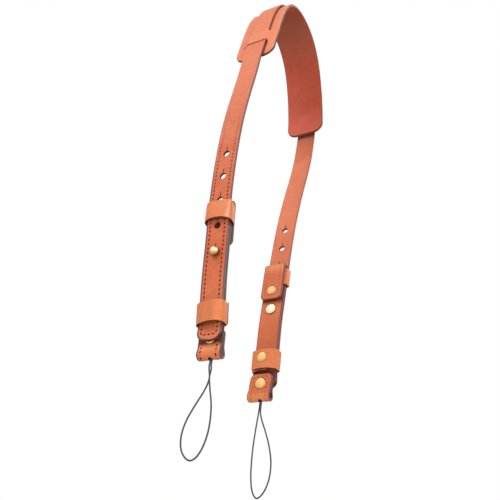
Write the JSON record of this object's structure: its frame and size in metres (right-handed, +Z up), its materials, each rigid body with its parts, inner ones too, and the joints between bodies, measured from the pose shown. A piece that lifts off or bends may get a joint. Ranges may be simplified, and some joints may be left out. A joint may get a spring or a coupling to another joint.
{
  "type": "double camera strap",
  "caption": "Leather neck strap for a camera: shoulder pad, stitched main strap, stud-fastened ends with keepers, rivets and thin cord loops.",
  "frame": {"origin": "on the inner face of the shoulder pad at the top of the arch, where the hanging strap sits on what holds it up", "axes": "+Z up, X across the strap, the left arm hangs at -Y and the right arm at +Y"},
  "size_m": [0.0377, 0.1227, 0.4421],
  "materials": {
    "strap_leather": "smooth tan bridle leather, grey-brown painted edges",
    "pad_leather": "smooth light tan leather, darker red-brown lining",
    "keeper_leather": "smooth orange-tan leather",
    "brass": "polished",
    "cord": "fine braided cord"
  },
  "bodies": {
    "root": {"shoulder_pad": "pad_leather", "main_strap": "strap_leather", "left_connector": "strap_leather", "left_upper_keeper": "keeper_leather", "left_lower_keeper": "keeper_leather", "left_stud": "brass", "left_tab_rivet": "brass", "left_keeper_rivet": "brass", "left_cord_rivet": "brass", "left_cord_loop": "cord", "right_connector": "strap_leather", "right_upper_keeper": "keeper_leather", "right_lower_keeper": "keeper_leather", "right_stud": "brass", "right_tab_rivet": "brass", "right_keeper_rivet": "brass", "right_cord_rivet": "brass", "right_cord_loop": "cord"}
  },
  "joints": []
}
